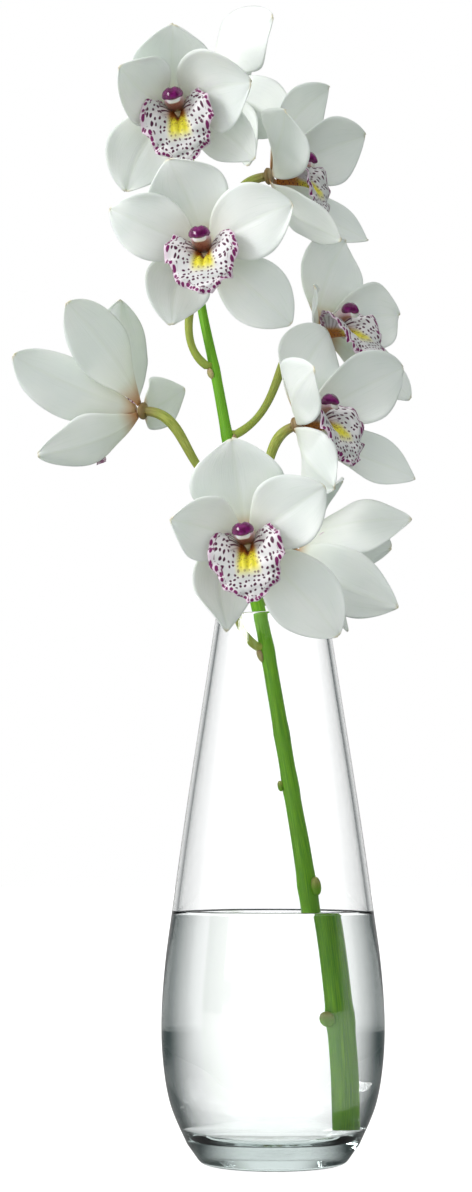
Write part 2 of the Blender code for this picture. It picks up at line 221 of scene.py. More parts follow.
def bump(tree, shader, height, strength, distance):
    inputs = {"Height": height, "Strength": strength, "Distance": distance}
    tree.links.new(add_node(tree, "Bump", inputs).outputs[0], shader.inputs["Normal"])


def own_uv(tree):
    """The piece's UV map, as a vector and as its two separate numbers."""
    uv = add_node(tree, "UVMap", uv_map="UVMap").outputs[0]
    parts = add_node(tree, "SeparateXYZ", {0: uv})
    return uv, parts.outputs[0], parts.outputs[1]


def object_place(tree):
    return add_node(tree, "TexCoord").outputs["Object"]


# %% [markdown]
# ## The glass
# Soda glass has no colour of its own face on. It shows its edges because light that runs a long way
# inside the wall loses a little, more red than green. So the surface stays clear and the inside of the
# glass absorbs, and a very faint ripple breaks up its reflections as hand-blown walls do.

# %% Clear glass
clear_glass, tree, shader = new_finish(
    "clear_glass", base_color=(1, 1, 1, 1), roughness=0.0, ior=1.5, transmission_weight=1.0
)
ripple = speckle(tree, scaled(tree, object_place(tree), (1, 1, 0.25)), 22.0, 1.0)
bump(tree, shader, ripple, 0.05, 0.001)
absorb = add_node(tree, "VolumeAbsorption", {"Color": (0.7, 0.77, 0.76, 1), "Density": 18.0})
tree.links.new(absorb.outputs[0], tree.nodes["Material Output"].inputs["Volume"])

# %% [markdown]
# ## The vase
# A glass blower swings the bubble on the pipe, so every level section is a circle. One half section, drawn
# from the middle of the floor up the inside, over the lip and down to the foot, is spun round the axis.
# The lip is fire polished to a small round, and the foot is ground flat.

# %% Vase section
RIM_WALL = 3.0
SIDE = [
    (34.0, 318.5, RIM_WALL),
    (40.0, 279, 3.1),
    (50.8, 208, 3.2),
    (59.0, 149, 3.4),
    (63.5, 114, 3.5),
    (65.5, 82, 3.6),
    (64.2, 56, 4.0),
]
OUTER_FOOT = [(59.8, 33), (50.4, 11.5)]
INNER_BOWL = [(56.6, 40), (50.5, 29.5), (41, 21.5), (29, 18), (14, 17), (0, 17)]
HEEL_RADIUS = 6.0
FOOT_RADIUS = 39.0
HEEL_START_DEG = -38
GLASS_STEPS = 128
GLASS_SPAN_STEPS = 8

outside_wall = smooth_through([(r, z) for r, z, _ in SIDE] + OUTER_FOOT, GLASS_SPAN_STEPS)
inside_wall = smooth_through([(r - wall, z) for r, z, wall in SIDE] + INNER_BOWL, GLASS_SPAN_STEPS)


def arc_points(radius, centre, first_deg, last_deg, steps):
    """Points on part of a circle of the half section, its two ends included."""
    angles = [math.radians(first_deg + (last_deg - first_deg) * i / steps) for i in range(steps + 1)]
    return [(centre[0] + radius * math.cos(a), centre[1] + radius * math.sin(a)) for a in angles]


def spin_section(section, steps):
    """Turns (radius, height) points round the upright axis into a closed shape."""
    shape = bmesh.new()
    points = [shape.verts.new((r * MM, 0, z * MM)) for r, z in section]
    edges = [shape.edges.new(pair) for pair in zip(points, points[1:])]
    upright = dict(axis=(0, 0, 1), cent=(0, 0, 0))
    bmesh.ops.spin(shape, geom=points + edges, angle=math.tau, steps=steps, use_merge=True, **upright)
    close_up(shape)
    return shape


# %% Vase
rim = arc_points(RIM_WALL / 2, (SIDE[0][0] - RIM_WALL / 2, SIDE[0][1]), 180, 0, 12)
heel = arc_points(HEEL_RADIUS, (FOOT_RADIUS, HEEL_RADIUS), HEEL_START_DEG, -90, 10)
glass_section = inside_wall[::-1] + rim[1:-1] + outside_wall + heel + [(20, 0), (0, 0)]
vase = finish_piece(
    "glass_vase", spin_section(glass_section, GLASS_STEPS), [clear_glass], "vase", "clear_glass", "vase"
)
print("vase faces:", len(vase.data.polygons))

# %% [markdown]
# ## The water
# The water wets the glass, so its body is made a hair larger than the hollow and overlaps the wall: a gap
# would mirror like a bubble. Its top creeps up the wall in a small curve, which draws the fine dark line
# seen at the water's edge.

# %% Water
WATER_LEVEL = 143.5
WATER_OVERLAP = 0.25
MENISCUS = 2.0

water_finish, tree, shader = new_finish(
    "water", base_color=(0.985, 1.0, 0.995, 1), roughness=0.0, ior=1.333, transmission_weight=1.0
)
wavelet = speckle(tree, object_place(tree), 9.0, 0.0)
bump(tree, shader, wavelet, 0.02, 0.001)

wetted = [(r + WATER_OVERLAP if r > 0 else 0, z - WATER_OVERLAP) for r, z in inside_wall if z < WATER_LEVEL]
top_radius = wetted[0][0] - 0.2
water_top = []
for step in range(13):
    inset = (1 - step / 12) ** 2 * 9
    lift = MENISCUS * math.exp(-inset / 1.6)
    water_top.append((top_radius - inset, WATER_LEVEL + lift))
water_section = wetted[::-1] + water_top[::-1] + [(30, WATER_LEVEL), (0, WATER_LEVEL)]
water = finish_piece("water", spin_section(water_section, GLASS_STEPS), [water_finish], "vase", "clear_glass")
print("water surface at", WATER_LEVEL, "mm, faces:", len(water.data.polygons))

# %% [markdown]
# ## The green stalk
# A cymbidium stalk is a juicy rod as thick as a finger where it is cut, and thins towards its tip. It is
# lit green with fine streaks along it, and swells a little where each flower leaves. The route is a
# handful of knots with a smooth curve run through them.

# %% Stalk finish
stalk_finish, tree, shader = new_finish(
    "green_stalk", roughness=0.38, subsurface_weight=0.08, subsurface_scale=0.002, coat_weight=0.12
)
uv, along, _ = own_uv(tree)
streaks = speckle(tree, scaled(tree, uv, (5, 22, 1)), 5.0, 4.0)
blotches = speckle(tree, object_place(tree), 55.0, 3.0)
green = blend_colour(tree, fade(tree, streaks, 0.35, 0.68), (0.09, 0.35, 0.003, 1), (0.26, 0.6, 0.012, 1))
green = blend_colour(tree, fade(tree, blotches, 0.62, 0.8, 0, 0.5), green, (0.3, 0.52, 0.06, 1))
cut_end = fade(tree, along, 0.012, 0.0)
green = blend_colour(tree, cut_end, green, (0.45, 0.55, 0.2, 1))
tree.links.new(green, shader.inputs["Base Color"])
tree.links.new(fade(tree, streaks, 0.3, 0.7, 0.34, 0.5), shader.inputs["Roughness"])
bump(tree, shader, streaks, 0.35, 0.0004)

# %% Stalk
PEDUNCLE = [
    (31.0, 8, 22.5, 6.0),
    (30.3, 8, 60, 6.0),
    (27.0, 8, 106, 5.9),
    (23.0, 8, 144, 5.8),
    (17.6, 8, 181, 5.4),
    (12.3, 7, 211, 4.9),
    (2.2, 4, 270, 4.5),
    (-5.0, 2, 310, 4.2),
    (-12.5, 2, 345, 3.9),
    (-20.5, 4, 397, 3.6),
    (-26.5, 4, 427, 3.4),
    (-33.9, 5, 468, 3.1),
    (-42.4, 5, 509, 2.8),
    (-48.6, 5, 550, 2.5),
    (-52.0, 8, 588, 2.2),
]
NODE_HEIGHTS = [83, 160, 219, 249, 300, 396, 430, 472, 550]
STALK_SPAN_STEPS = 9


def tapered_ends(path, reach):
    """Adds stations of shrinking radius at both ends, so that a tube closes in a small dome."""
    first, last = path[0], path[-1]
    start, end = [], []
    backward = (Vector(first[:3]) - Vector(path[1][:3])).normalized()
    toward = (Vector(last[:3]) - Vector(path[-2][:3])).normalized()
    for share, out in ((0.0, 0.12), (0.6, 0.1), (0.92, 0.06)):
        start.append((*(Vector(first[:3]) + backward * reach * out), first[3] * share))
    for share, out in ((0.86, 0.5), (0.5, 0.87), (0.0, 1.0)):
        end.append((*(Vector(last[:3]) + toward * reach * out), last[3] * share))
    return start + path + end


stalk_path = []
for x, y, z, radius in smooth_through(PEDUNCLE, STALK_SPAN_STEPS):
    knuckle = sum(0.1 * math.exp(-(((z - height) / 5) ** 2)) for height in NODE_HEIGHTS)
    stalk_path.append((x, y, z, radius * (1 + knuckle)))


def stalk_swell(share, angle):
    return 1 + 0.02 * math.sin(5 * angle + 9 * share) + 0.012 * math.sin(11 * angle - 20 * share)


shape = new_shape()
add_tube(shape, tapered_ends(stalk_path, 2.0), 28, stalk_swell)
close_up(shape)
finish_piece("stalk", shape, [stalk_finish], "spray", "green_stem", "peduncle_foot", "peduncle")

# %% [markdown]
# ## Where the flowers sit
# Every flower has its own axes: right, up, and out of its face. One table holds where each flower is and
# how its five blades lie. A blade is (turn, start, tip, half width, cup, roll): the way it leaves, where
# its tip ends up, and how it is folded. Lengths are millimetres, and angles are degrees.

# %% Flower table
FLOWERS = {
    "flower_1": dict(
        centre=(-57, -26, 625), azimuth=-2, elevation=-15, roll=-11,
        leaves_at=572, leaves_towards=(-0.5, -0.4, 0.75), lip_droop=1.0,
        dorsal=(2, 18, (9, 45, 26), 25, 28, 0),
        right_sepal=(122, 18, (39, -39, 22), 17, 20, 0),
        left_sepal=(-118, 15, (-39, -42, 14), 22, 20, 0),
        right_petal=(66, 44, (46, 3, 34), 27, 28, 0),
        left_petal=(-62, 44, (-25, 27, 38), 23, 32, 0),
    ),
    "flower_2": dict(
        centre=(-39, 34, 657), azimuth=115, elevation=4, roll=-8,
        leaves_at=584, leaves_towards=(0.2, 0.6, 0.75), lip_droop=1.0,
        dorsal=(-18, 15, (-40, 40, 26), 23, 20, 30),
        right_sepal=(130, 20, (23, -32, 37), 17, 20, 0),
        left_sepal=(-135, 20, (-23, -49, 17), 18, 20, 0),
        right_petal=(52, 30, (28, 32, 44), 22, 22, -10),
        left_petal=(-108, 28, (-41, -28, 34), 20, 22, 0),
    ),
    "flower_3": dict(
        centre=(-1, 6, 593), azimuth=70, elevation=2, roll=-12,
        leaves_at=550, leaves_towards=(0.8, 0.1, 0.6), lip_droop=0.9,
        dorsal=(18, 12, (34, 52, 34), 19, 20, -25),
        right_sepal=(132, 20, (44, -42, 46), 17, 20, 0),
        left_sepal=(-146, 20, (-12, -44, 45), 18, 12, -20),
        right_petal=(60, 40, (43, 21, 49), 23, 30, 0),
        left_petal=(-64, 26, (-36, 33, 24), 24, 16, 38),
    ),
    "flower_4": dict(
        centre=(-40, -36, 535), azimuth=-5, elevation=-8, roll=-7,
        leaves_at=474, leaves_towards=(-0.75, -0.4, 0.5), lip_droop=0.68,
        dorsal=(-6, 15, (-12, 51, 26), 26, 18, 0),
        right_sepal=(136, 14, (45, -51, 2), 20, 18, 0),
        left_sepal=(-120, 15, (-23, -42, 18), 21, 22, 0),
        right_petal=(68, 44, (56, 17, 18), 23, 15, 0),
        left_petal=(-64, 44, (-50, 29, 24), 20, 20, 0),
    ),
    "flower_5": dict(
        centre=(29, 24, 500), azimuth=52, elevation=6, roll=-10,
        leaves_at=432, leaves_towards=(0.85, 0.3, 0.5), lip_droop=0.62,
        dorsal=(0, 15, (23, 53, 18), 24, 22, -28),
        right_sepal=(128, 20, (48, -49, 27), 17, 20, 0),
        left_sepal=(-135, 20, (-28, -42, 18), 17, 20, 0),
        right_petal=(76, 40, (55, 4, 24), 22, 28, 0),
        left_petal=(-66, 16, (-32, 20, 24), 13, 16, 0),
    ),
    "flower_6": dict(
        centre=(15, -24, 432), azimuth=52, elevation=10, roll=-8,
        leaves_at=385, leaves_towards=(0.6, -0.5, 0.7), lip_droop=0.95,
        dorsal=(6, 8, (36, 56, 14), 22, 16, -30),
        right_sepal=(124, 20, (57, -43, 36), 18, 20, 0),
        left_sepal=(-140, 14, (-17, -46, 27), 21, 16, -55),
        right_petal=(62, 42, (61, 24, 42), 22, 26, 0),
        left_petal=(-64, 18, (-36, 20, 42), 20, 10, 36),
    ),
    "flower_7": dict(
        centre=(-78, -12, 443), azimuth=-112, elevation=8, roll=20,
        leaves_at=396, leaves_towards=(-0.85, -0.3, 0.3), lip_droop=1.0,
        dorsal=(16, 20, (34, 68, 31), 20, 20, -30),
        right_sepal=(120, 20, (52, -19, 43), 18, 20, 0),
        left_sepal=(-100, 10, (-42, 7, -9), 17, 20, 0),
        right_petal=(64, 40, (55, 38, 54), 21, 25, 10),
        left_petal=(-40, 35, (-26, 62, 24), 21, 20, -40),
    ),
    "flower_8": dict(
        centre=(-15, -50, 359), azimuth=-4, elevation=-9, roll=-9,
        leaves_at=302, leaves_towards=(-0.75, -0.45, 0.5), lip_droop=0.95,
        dorsal=(0, 12, (2, 58, 22), 28, 18, 0),
        right_sepal=(140, 12, (43, -63, 4), 22, 20, 0),
        left_sepal=(-118, 6, (-18, -48, 20), 20, 24, 0),
        right_petal=(64, 48, (50, 24, 18), 22, 15, 0),
        left_petal=(-58, 46, (-37, 19, 36), 20, 20, 0),
    ),
    "flower_9": dict(
        centre=(14, 20, 363), azimuth=86, elevation=0, roll=0,
        leaves_at=330, leaves_towards=(0.6, 0.6, 0.5), lip_droop=1.0,
        dorsal=(8, 20, (25, 46, 29), 17, 25, 0),
        right_sepal=(140, 20, (27, -46, 32), 17, 20, 0),
        left_sepal=(-124, 20, (-25, -37, 62), 24, 18, 0),
        right_petal=(62, 40, (34, 5, 56), 21, 25, 0),
        left_petal=(-56, 40, (-27, 13, 68), 22, 22, 0),
    ),
}
SEPALS = ("dorsal", "right_sepal", "left_sepal")
PETALS = ("right_petal", "left_petal")
SEPAL_RISE = 0.9
PETAL_RISE = 3.1
SEPAL_HUB = 5.6
PETAL_HUB = 4.8
ROOT_INSET = 1.3
CLAW_SHARE = 0.13
TIP_HALF_WIDTH = 0.5


def flower_frame(flower):
    """Matrix from a flower's own axes (right, up and out of its face) to the vase's, in millimetres."""
    turn, lift = math.radians(flower["azimuth"]), math.radians(flower["elevation"])
    out = Vector((math.sin(turn) * math.cos(lift), -math.cos(turn) * math.cos(lift), math.sin(lift)))
    up = Vector((-math.sin(turn) * math.sin(lift), math.cos(turn) * math.sin(lift), math.cos(lift)))
    rotation = Matrix((up.cross(out), up, out)).transposed()
    roll = Matrix.Rotation(-math.radians(flower["roll"]), 3, "Z")
    return Matrix.Translation(flower["centre"]) @ (rotation @ roll).to_4x4()


# %% [markdown]
# ## White waxy tissue
# The sepals and petals are thick and waxy: a soft white with a cool green-grey cast, finely veined from
# root to tip, warmer at the tip and flushed brown where the back meets the flower's stalk. Light sinks in
# a little before it comes back, which the subsurface share stands for.


# %% Sepal and petal finishes
def waxy_white(name, root_colour, root_reach):
    material, tree, shader = new_finish(
        name,
        roughness=0.42,
        subsurface_weight=0.4,
        subsurface_radius=(0.9, 1.0, 0.8),
        subsurface_scale=0.003,
        coat_weight=0.06,
        coat_roughness=0.35,
    )
    uv, along, across = own_uv(tree)
    veins = speckle(tree, scaled(tree, uv, (1.6, 26, 1)), 2.2, 3.0)
    cloud = speckle(tree, object_place(tree), 32.0, 2.0)
    white = blend_colour(tree, fade(tree, cloud, 0.35, 0.7), (0.83, 0.885, 0.85, 1), (0.89, 0.925, 0.885, 1))
    white = blend_colour(tree, fade(tree, veins, 0.52, 0.72, 0, 0.35), white, (0.72, 0.8, 0.735, 1))
    middle = fade(tree, calc(tree, "ABSOLUTE", calc(tree, "SUBTRACT", across, 0.5)), 0.05, 0.0, 0, 0.3)
    white = blend_colour(tree, middle, white, (0.78, 0.84, 0.73, 1))
    white = blend_colour(tree, fade(tree, along, 0.45, 0.05, 0, 0.45), white, (0.78, 0.8, 0.62, 1))
    white = blend_colour(tree, fade(tree, along, root_reach, 0.0), white, root_colour)
    white = blend_colour(tree, fade(tree, along, 0.93, 1.0, 0, 0.75), white, (0.76, 0.66, 0.42, 1))
    tree.links.new(white, shader.inputs["Base Color"])
    tree.links.new(fade(tree, cloud, 0.3, 0.7, 0.36, 0.5), shader.inputs["Roughness"])
    bump(tree, shader, veins, 0.3, 0.0004)
    return material


sepal_finish = waxy_white("white_sepal", (0.5, 0.24, 0.1, 1), 0.19)
petal_finish = waxy_white("white_petal", (0.66, 0.45, 0.26, 1), 0.11)

# %% [markdown]
# ## Blades
# A blade's spine is a short curve from the hub to the tip. Its section is a shallow trough whose slope
# grows towards the edge, a shallow groove marks the midrib, and the edge waves a little more the wider
# the blade is. The Solidify modifier gives it a wall that thins out at the margin, as a petal's does.

# %% Blade shape
BLADE_ALONG = 36
BLADE_ACROSS = 22
BLADE_THICKNESS = 0.95 * MM
EDGE_THICKNESS_SHARE = 0.3


def blade_half_width(full_width, share):
    """A narrow claw, widest past the middle, and a blunt point."""
    body = math.sin(math.pi * min(share**1.25, 1.0)) ** 0.72
    claw = CLAW_SHARE * (1 - share) ** 2
    return max(TIP_HALF_WIDTH, full_width * math.hypot(body, claw))


def bent_across(side, half_width, slopes):
    """Sideways and forward travel over half a cross section, given its slopes from the middle outwards."""
    steps = 10
    across = raised = 0.0
    for step in range(steps):
        slope = math.radians(eased(slopes, abs(side) * (step + 0.5) / steps))
        across += half_width * side / steps * math.cos(slope)
        raised += half_width * abs(side) / steps * math.sin(slope)
    return across, raised


def blade_point(blade, hub, rise, seed, share, side):
    """A point of a sepal or petal in the flower's axes."""
    turn, start, tip, half_width, cup, roll = blade
    turn, start = math.radians(turn), math.radians(start)
    outward = Vector((math.sin(turn), math.cos(turn), 0))
    sideways = Vector((math.cos(turn), -math.sin(turn), 0))
    root = outward * (hub - ROOT_INSET) + Vector((0, 0, rise))
    tip = Vector(tip) + Vector((0, 0, rise))
    bend = root + (outward * math.cos(start) + Vector((0, 0, math.sin(start)))) * (tip - root).length * 0.5
    spine = root * (1 - share) ** 2 + bend * 2 * share * (1 - share) + tip * share**2
    along = ((bend - root) * (1 - share) + (tip - bend) * share).normalized()
    sideways = (sideways - along * sideways.dot(along)).normalized()
    front = sideways.cross(along)
    swing = Matrix.Rotation(math.radians(roll) * min(1, share * 2), 3, along)
    cup *= math.sin(math.pi * min(1, 0.2 + share * 0.65))
    slopes = [(0.0, 0.0), (0.5, cup * 0.6), (1.0, cup * 1.2)]
    across, raised = bent_across(side, blade_half_width(half_width, share), slopes)
    raised -= 0.7 * math.exp(-((side / 0.09) ** 2)) * math.sin(math.pi * share)
    wave = math.sin(math.tau * (1.9 * share + seed) + 2 * side)
    raised += 1.3 * abs(side) ** 2.5 * wave * min(1, 3 * share)
    raised += 1.6 * share * noise.noise(Vector((2.1 * share + 7 * seed, 1.4 * side, 3.0 * seed)))
    raised -= 2.2 * max(0, (share - 0.8) / 0.2) ** 2
    return spine + swing @ (sideways * across + front * raised)


def add_blade(shape, blade, hub, rise, seed, matrix):
    """Lays one blade as a sheet, with a weight that thins its wall towards the margin."""

    def place(u, v):
        return matrix @ blade_point(blade, hub, rise, seed, 1 - (1 - u) ** 1.35, v * 2 - 1)

    weights = shape.verts.layers.deform.verify()
    for vert in add_sheet(shape, BLADE_ALONG, BLADE_ACROSS, place):
        vert[weights][0] = 1.0
    for edge in shape.edges:
        if edge.is_boundary:
            for vert in edge.verts:
                vert[weights][0] = 0.0


def give_wall(piece, thickness, material_step=0):
    piece.vertex_groups.new(name="wall")
    wall = piece.modifiers.new("wall", "SOLIDIFY")
    wall.thickness = thickness
    wall.offset = 0
    wall.vertex_group = "wall"
    wall.thickness_vertex_group = EDGE_THICKNESS_SHARE
    wall.use_even_offset = False
    wall.material_offset = material_step
    wall.material_offset_rim = 0


# %% Sepals and petals
for number, (name, flower) in enumerate(FLOWERS.items()):
    matrix = flower_frame(flower)
    whorls = (
        ("sepals", SEPALS, SEPAL_HUB, SEPAL_RISE, sepal_finish, "white_sepal"),
        ("petals", PETALS, PETAL_HUB, PETAL_RISE, petal_finish, "white_petal"),
    )
    for whorl, blades, hub, rise, finish, slot in whorls:
        shape = new_shape()
        for place, blade in enumerate(blades):
            add_blade(shape, flower[blade], hub, rise, 0.37 * number + 0.29 * place, matrix)
        piece = finish_piece(f"{name}_{whorl}_waxy", shape, [finish], "spray", slot, f"{name}_{whorl}")
        give_wall(piece, BLADE_THICKNESS)
print("blades laid:", 5 * len(FLOWERS))

# %% [markdown]
# ## The spotted lip
# The lip is the landing stage for bees. Its side lobes stand up round the column, its front lobe turns
# down, and its margin is ruffled. It is white with round maroon spots: small and sparse inside, crowded
# and joined up along the margin, and drawn out into rows that lead into the throat. Two yellow keels
# speckled with brown run down its middle. The pattern is drawn on the lip laid flat, in millimetres,
# which each point carries as an attribute, so that the spots stay round wherever the lip bends.


# %% Lip finishes
def round_spots(tree, vector, spacing, randomness, radius):
    """1 inside round spots that sit about spacing apart, 0 between them."""
    inputs = {"Vector": vector, "Scale": 1 / spacing, "Randomness": randomness}
    away = add_node(tree, "TexVoronoi", inputs, voronoi_dimensions="2D").outputs["Distance"]
    return fade(tree, calc(tree, "SUBTRACT", away, radius), 0.05, -0.05)


def lip_markings(name, white, strength):
    material, tree, shader = new_finish(
        name, roughness=0.45, subsurface_weight=0.15, subsurface_radius=(1, 0.9, 0.9), subsurface_scale=0.001
    )
    flat = add_node(tree, "Attribute", attribute_name="flat").outputs["Vector"]
    margin = add_node(tree, "Attribute", attribute_name="margin").outputs["Vector"]
    parts = add_node(tree, "SeparateXYZ", {0: flat})
    across, along = parts.outputs[0], parts.outputs[1]
    inward = add_node(tree, "SeparateXYZ", {0: margin}).outputs[1]
    beside = calc(tree, "ABSOLUTE", across)

    wobble = add_node(tree, "TexNoise", {"Vector": flat, "Scale": 0.25, "Detail": 1.0}).outputs["Color"]
    shaken = add_node(tree, "VectorMath", {0: wobble, 1: (2.5, 2.5, 0)}, operation="MULTIPLY").outputs[0]
    shaken = add_node(tree, "VectorMath", {0: flat, 1: shaken}, operation="ADD").outputs[0]
    scattered = round_spots(tree, shaken, 2.9, 0.55, fade(tree, inward, 9.0, 4.0, 0.23, 0.29))
    scattered = calc(tree, "MULTIPLY", scattered, fade(tree, inward, 3.0, 3.6))

    beaded = add_node(tree, "VectorMath", {0: margin, 1: (0, -1.0, 0)}, operation="ADD").outputs[0]
    beads = round_spots(tree, beaded, 2.5, 0.45, 0.38)
    beads = calc(tree, "MULTIPLY", beads, fade(tree, inward, 3.6, 3.0))

    reach = calc(tree, "SUBTRACT", along, 3.0)
    angle = calc(tree, "ARCTAN2", beside, reach)
    squares = calc(tree, "ADD", calc(tree, "POWER", beside, 2.0), calc(tree, "POWER", reach, 2.0))
    radius = calc(tree, "SQRT", squares)
    spoke = calc(tree, "FRACT", calc(tree, "MULTIPLY", angle, 5.6))
    spoke = calc(tree, "ABSOLUTE", calc(tree, "SUBTRACT", spoke, 0.5))
    lines = calc(tree, "MULTIPLY", fade(tree, spoke, 0.24, 0.14), fade(tree, angle, 0.55, 0.8))
    broken = speckle(tree, shaken, 0.55, 1.0)
    ragged = calc(tree, "ADD", radius, calc(tree, "MULTIPLY", broken, 9.0))
    lines = calc(tree, "MULTIPLY", lines, fade(tree, ragged, 24.0, 22.0))
    scattered = calc(tree, "MULTIPLY", scattered, fade(tree, radius, 16.0, 18.0))
    marks = calc(tree, "MAXIMUM", calc(tree, "MAXIMUM", lines, scattered), beads)

    throat = calc(tree, "MULTIPLY", fade(tree, along, 19.0, 11.0), fade(tree, beside, 10.5, 5.5))
    keel = calc(tree, "MULTIPLY", fade(tree, beside, 9.0, 4.5), fade(tree, along, 33.0, 25.0))
    clear = calc(tree, "SUBTRACT", 1.0, calc(tree, "MULTIPLY", keel, 0.8))
    marks = calc(tree, "MULTIPLY", calc(tree, "MULTIPLY", marks, clear), strength)
    grit = round_spots(tree, shaken, 1.7, 0.9, 0.24)
    grit = calc(tree, "MULTIPLY", calc(tree, "MULTIPLY", grit, fade(tree, along, 27.0, 15.0, 0, 0.9)), keel)

    # Painted shade: broad soft grey patches, laid at random over the white of the lip.
    shade = speckle(tree, flat, 0.12, 1.0)
    colour = blend_colour(tree, fade(tree, shade, 0.35, 0.65), white, (0.66, 0.66, 0.66, 1))
    colour = blend_colour(tree, fade(tree, inward, 3.4, 0.0, 0.0, 0.7), colour, (0.85, 0.6, 0.78, 1))
    colour = blend_colour(tree, keel, colour, (0.8, 0.72, 0.04, 1))
    colour = blend_colour(tree, throat, colour, (0.5, 0.17, 0.02, 1))
    colour = blend_colour(tree, marks, colour, (0.085, 0.004, 0.045, 1))
    magenta = fade(tree, calc(tree, "MULTIPLY", beads, clear), 0.1, 1.0, 0, 0.55)
    colour = blend_colour(tree, magenta, colour, (0.3, 0.0, 0.17, 1))
    colour = blend_colour(tree, grit, colour, (0.2, 0.03, 0.01, 1))
    tree.links.new(colour, shader.inputs["Base Color"])
    fuzz = speckle(tree, flat, 1.4, 3.0)
    bump(tree, shader, calc(tree, "ADD", fuzz, calc(tree, "MULTIPLY", marks, 0.4)), 0.3, 0.0003)
    return material


lip_face = lip_markings("lip_face", (0.82, 0.79, 0.81, 1), 1.0)
lip_back = lip_markings("lip_back", (0.74, 0.68, 0.76, 1), 0.4)

# %% Lip shape
LIP_LENGTH = 46
LIP_RISE = 4.6
LIP_DROP = 6.0
LIP_ALONG = 64
LIP_ACROSS = 56
LIP_THICKNESS = 0.85 * MM
LIP_DROOP = [(0.0, 5), (0.3, 15), (0.5, 45), (0.7, 82), (1.0, 108)]
LIP_HALF_WIDTHS = [
    (0.0, 8), (0.1, 17.5), (0.22, 23.5), (0.4, 25), (0.52, 23),
    (0.62, 18), (0.78, 17), (0.88, 10), (1.0, 4),
]
LIP_INNER = [(0.0, 72), (0.22, 68), (0.4, 48), (0.54, 22), (0.66, 5), (1.0, -5)]
LIP_SIDES = [(0.0, 62), (0.22, 50), (0.4, 36), (0.54, 18), (0.66, 0), (0.8, -8), (1.0, -10)]
LIP_EDGES = [(0.0, 40), (0.22, 18), (0.4, 2), (0.54, -10), (0.66, -20), (0.8, -30), (1.0, -30)]


def lip_outline(steps):
    """The margin of the lip laid flat, from one side of its root round the front to the other."""
    right = [(eased(LIP_HALF_WIDTHS, i / steps), LIP_LENGTH * i / steps) for i in range(steps + 1)]
    return [Vector((-x, y)) for x, y in right] + [Vector(point) for point in right[::-1]]


def margin_place(point, outline):
    """How far along the margin the nearest part of it lies, and how far in from it the point is."""
    best = (math.inf, 0.0)
    travelled = 0.0
    for first, second in zip(outline, outline[1:]):
        step = second - first
        length = step.length
        share = min(1, max(0, (point - first).dot(step) / length**2))
        best = min(best, ((point - first - step * share).length, travelled + share * length))
        travelled += length
    return best[1], best[0]


def lip_spine(droop, steps):
    """Height, forward reach and slope at even steps along the lip's middle line."""
    line = []
    up, out = -LIP_DROP, LIP_RISE
    for step in range(steps + 1):
        slope = math.radians(droop * eased(LIP_DROOP, step / steps))
        line.append((up, out, slope))
        between = math.radians(droop * eased(LIP_DROOP, min(1, (step + 0.5) / steps)))
        up -= LIP_LENGTH / steps * math.sin(between)
        out += LIP_LENGTH / steps * math.cos(between)
    return line


def lip_point(line, share, side, seed):
    """A point of the lip in the flower's axes: trough, keels and ruffled margin."""
    up, out, slope = line[round(share * (len(line) - 1))]
    half_width = eased(LIP_HALF_WIDTHS, share)
    bends = ((0.18, LIP_INNER), (0.6, LIP_SIDES), (1.0, LIP_EDGES))
    slopes = [(0.0, 0.0)] + [(out_at, eased(angles, share)) for out_at, angles in bends]
    across, raised = bent_across(side, half_width, slopes)
    keel_height = eased([(0, 0), (0.15, 1), (0.5, 1), (0.66, 0), (1, 0)], share)
    keels = math.exp(-(((abs(across) - 2.1) / 1.1) ** 2)) * keel_height
    frill = abs(side) ** 4 * min(1, share * 2.2) + share**9
    wave = math.sin(math.tau * (5.5 * share + seed) + 1.5 * side)
    wave += 0.5 * math.sin(math.tau * 9 * share + 5 * side)
    raised += 1.9 * keels + 1.35 * frill * wave
    raised += 0.9 * share * noise.noise(Vector((3 * share + 5 * seed, 2.2 * side, seed)))
    return Vector((across, up + raised * math.cos(slope), out + raised * math.sin(slope)))


# %% Lip laid flat
outline = lip_outline(60)
flat_lip = new_shape()
flat = flat_lip.verts.layers.float_vector.new("flat")
margin = flat_lip.verts.layers.float_vector.new("margin")
weights = flat_lip.verts.layers.deform.verify()
for vert in add_sheet(flat_lip, LIP_ALONG, LIP_ACROSS, lambda u, v: Vector((u, v * 2 - 1, 0)) / MM):
    half_width = eased(LIP_HALF_WIDTHS, vert.co.x)
    vert[flat] = (vert.co.y * half_width, vert.co.x * LIP_LENGTH, 0)
    run, inward = margin_place(Vector(vert[flat][:2]), outline)
    vert[margin] = (run, inward, 0)
    vert[weights][0] = 1.0 if inward > 0.8 else 0.0

# %% Lips
for number, (name, flower) in enumerate(FLOWERS.items()):
    matrix = flower_frame(flower)
    line = lip_spine(flower["lip_droop"], LIP_ALONG)
    shape = flat_lip.copy()
    flat = shape.verts.layers.float_vector["flat"]
    margin = shape.verts.layers.float_vector["margin"]
    for vert in shape.verts:
        share, side = vert.co.x, vert.co.y
        vert.co = matrix @ lip_point(line, share, side, 0.41 * number) * MM
        vert[flat] = Vector(vert[flat]) + Vector((0, 0, 40 * number))
        vert[margin] = Vector(vert[margin]) + Vector((40 * number, 0, 0))
    finishes = [lip_face, lip_back]
    lip = finish_piece(f"{name}_lip_spotted", shape, finishes, "spray", "spotted_lip", f"{name}_lip")
    give_wall(lip, LIP_THICKNESS, material_step=1)
flat_lip.free()
print("lips:", len(FLOWERS))

# %% [markdown]
# ## Column and anther cap
# The column arches over the throat. Its back is pinkish white and its hollow underside is dusty rose with
# fine speckles. It ends in a glossy magenta cap that covers the pollen, with a white beak under it. The
# column is a rolled-up sheet flattened from below, and the cap is a dome with a crease down its middle.

